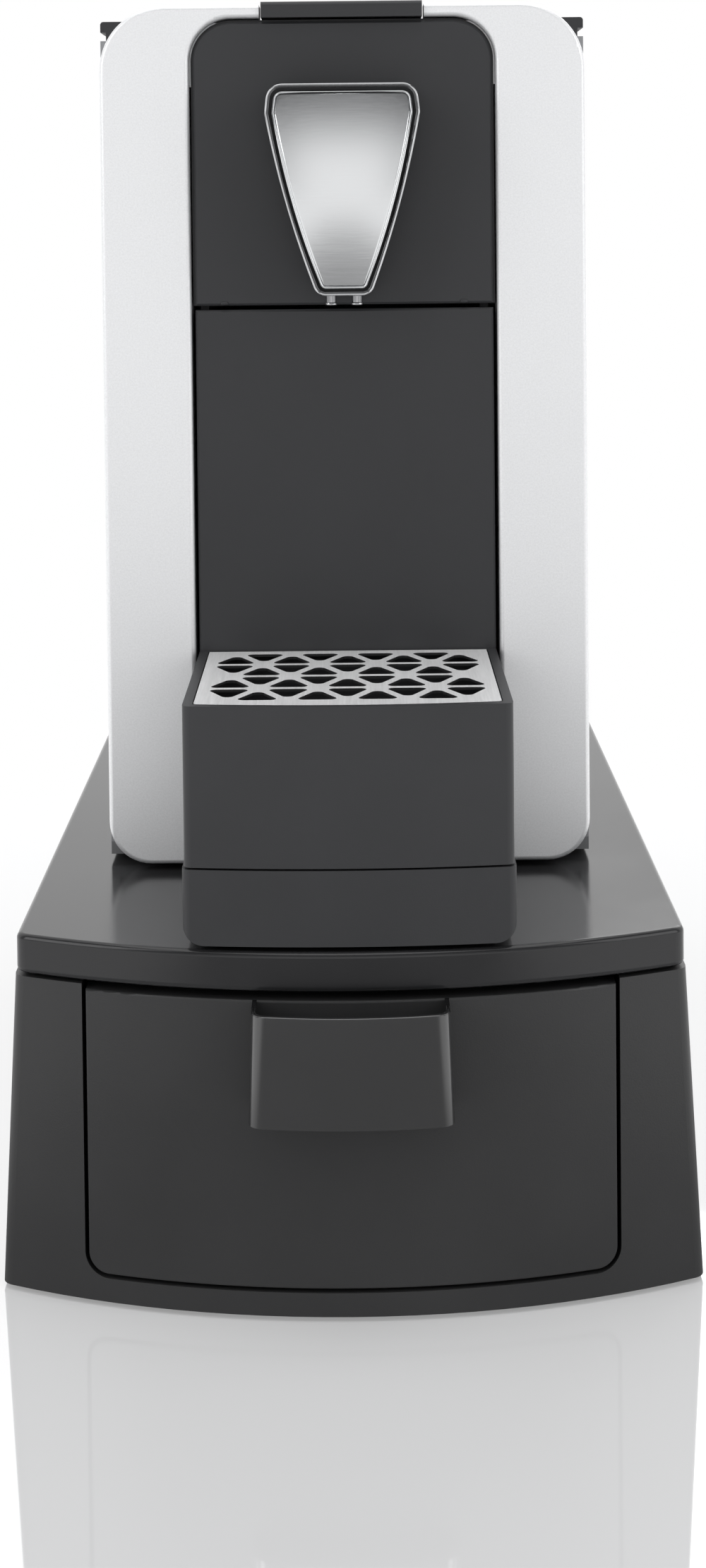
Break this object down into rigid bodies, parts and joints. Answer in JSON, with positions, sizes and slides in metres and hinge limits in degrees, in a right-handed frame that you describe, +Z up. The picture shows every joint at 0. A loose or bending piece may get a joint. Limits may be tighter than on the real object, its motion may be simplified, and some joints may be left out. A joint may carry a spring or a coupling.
{
  "type": "pod coffee machine",
  "caption": "Slim pod coffee machine with a top lever, drip tray and rear water tank, standing on a bow-fronted pod drawer stand.",
  "frame": {"origin": "on the floor, under the middle of the object's box", "axes": "+Z up, the front with the spout and drawer faces -Y, +X to the right seen from the front"},
  "size_m": [0.205, 0.401, 0.3794],
  "materials": {
    "silver_fascia": "satin silver lacquer",
    "charcoal_plastic": "fine satin texture",
    "stand_charcoal": "satin lacquer",
    "body_grey": "fine texture",
    "chrome_trim": "polished",
    "brushed_shield": "brushed upright",
    "grid_steel": "satin",
    "inner_plastic": "plain",
    "steel": "plain",
    "cast_aluminium": "cast",
    "brass": "plain",
    "rubber": "matt",
    "hose_silicone": "smooth",
    "circuit_board": "solder mask",
    "tank_clear": "smoky clear",
    "button_plastic": "polished"
  },
  "bodies": {
    "chassis": {"stand_top_plate": "stand_charcoal", "stand_shell": "stand_charcoal", "stand_feet": "rubber", "drawer_rail_left": "inner_plastic", "drawer_rail_right": "inner_plastic", "front_fascia": "silver_fascia", "upper_front_panel": "charcoal_plastic", "spout_housing": "charcoal_plastic", "spout_bezel": "chrome_trim", "spout_shield": "brushed_shield", "spout_nozzles": "chrome_trim", "base_plinth": "charcoal_plastic", "machine_base": "charcoal_plastic", "machine_feet": "rubber", "case_screws": "steel", "right_side_panel": "body_grey", "left_side_panel": "body_grey", "rear_panel": "body_grey", "top_cover": "charcoal_plastic", "button_boards": "circuit_board", "brew_head": "inner_plastic", "extraction_plate": "steel", "brew_plates": "steel", "lever_pivot_pin": "steel", "inner_frame": "inner_plastic", "tank_dock": "charcoal_plastic", "tank_socket": "rubber", "mains_inlet": "inner_plastic", "inlet_pins": "brass", "pump": "steel", "pump_mounts": "rubber", "boiler": "cast_aluminium", "flow_meter": "inner_plastic", "control_board": "circuit_board", "suction_hose": "hose_silicone", "meter_hose": "hose_silicone", "pressure_hose": "hose_silicone", "brew_hose": "hose_silicone"},
    "drawer": {"drawer_box": "inner_plastic", "drawer_front": "stand_charcoal", "drawer_handle": "stand_charcoal"},
    "tray_unit": {"drip_tray": "charcoal_plastic", "niche_panel": "charcoal_plastic", "capsule_bin": "inner_plastic"},
    "grid": {"cup_grid": "grid_steel"},
    "lever": {"brew_lever": "charcoal_plastic", "lever_cams": "inner_plastic"},
    "cage": {"capsule_cage": "inner_plastic", "cage_cross_pin": "steel", "cage_seal": "rubber"},
    "button_left": {"brew_button_left": "button_plastic"},
    "button_right": {"brew_button_right": "button_plastic"},
    "power": {"power_button": "button_plastic"},
    "tank": {"water_tank": "tank_clear", "lid_hinge_pin": "steel", "tank_valve": "inner_plastic"},
    "lid": {"tank_lid": "charcoal_plastic"}
  },
  "joints": [
    {"name": "drawer_slide", "type": "slide", "parent": "chassis", "child": "drawer", "axis": [0, -1, 0], "range_m": [0, 0.24]},
    {"name": "tray_slide", "type": "slide", "parent": "chassis", "child": "tray_unit", "axis": [0, -1, 0], "range_m": [0, 0.15]},
    {"name": "grid_lift", "type": "slide", "parent": "tray_unit", "child": "grid", "axis": [0, 0, 1], "range_m": [0, 0.04]},
    {"name": "lever_hinge", "type": "hinge", "parent": "chassis", "child": "lever", "pos_m": [0, 0.0413, 0.3454], "axis": [-1, 0, 0], "range_deg": [0, 78]},
    {"name": "cage_slide", "type": "slide", "parent": "chassis", "child": "cage", "axis": [0, 1, 0], "range_m": [0, 0.033]},
    {"name": "left_button_press", "type": "slide", "parent": "chassis", "child": "button_left", "axis": [0, 0, -1], "range_m": [0, 0.002], "stiffness_N_per_m": 400, "springref_m": -0.001},
    {"name": "right_button_press", "type": "slide", "parent": "chassis", "child": "button_right", "axis": [0, 0, -1], "range_m": [0, 0.002], "stiffness_N_per_m": 400, "springref_m": -0.001},
    {"name": "power_press", "type": "slide", "parent": "chassis", "child": "power", "axis": [0, -1, 0], "range_m": [0, 0.0025], "stiffness_N_per_m": 400, "springref_m": -0.001},
    {"name": "tank_lift", "type": "slide", "parent": "chassis", "child": "tank", "axis": [0, 0, 1], "range_m": [0, 0.07]},
    {"name": "lid_hinge", "type": "hinge", "parent": "tank", "child": "lid", "pos_m": [0, 0.1267, 0.3561], "axis": [1, 0, 0], "range_deg": [0, 95]}
  ],
  "couplings": [
    {"joint": "cage_slide", "follows": "lever_hinge", "m_per_rad": 0.024241}
  ]
}
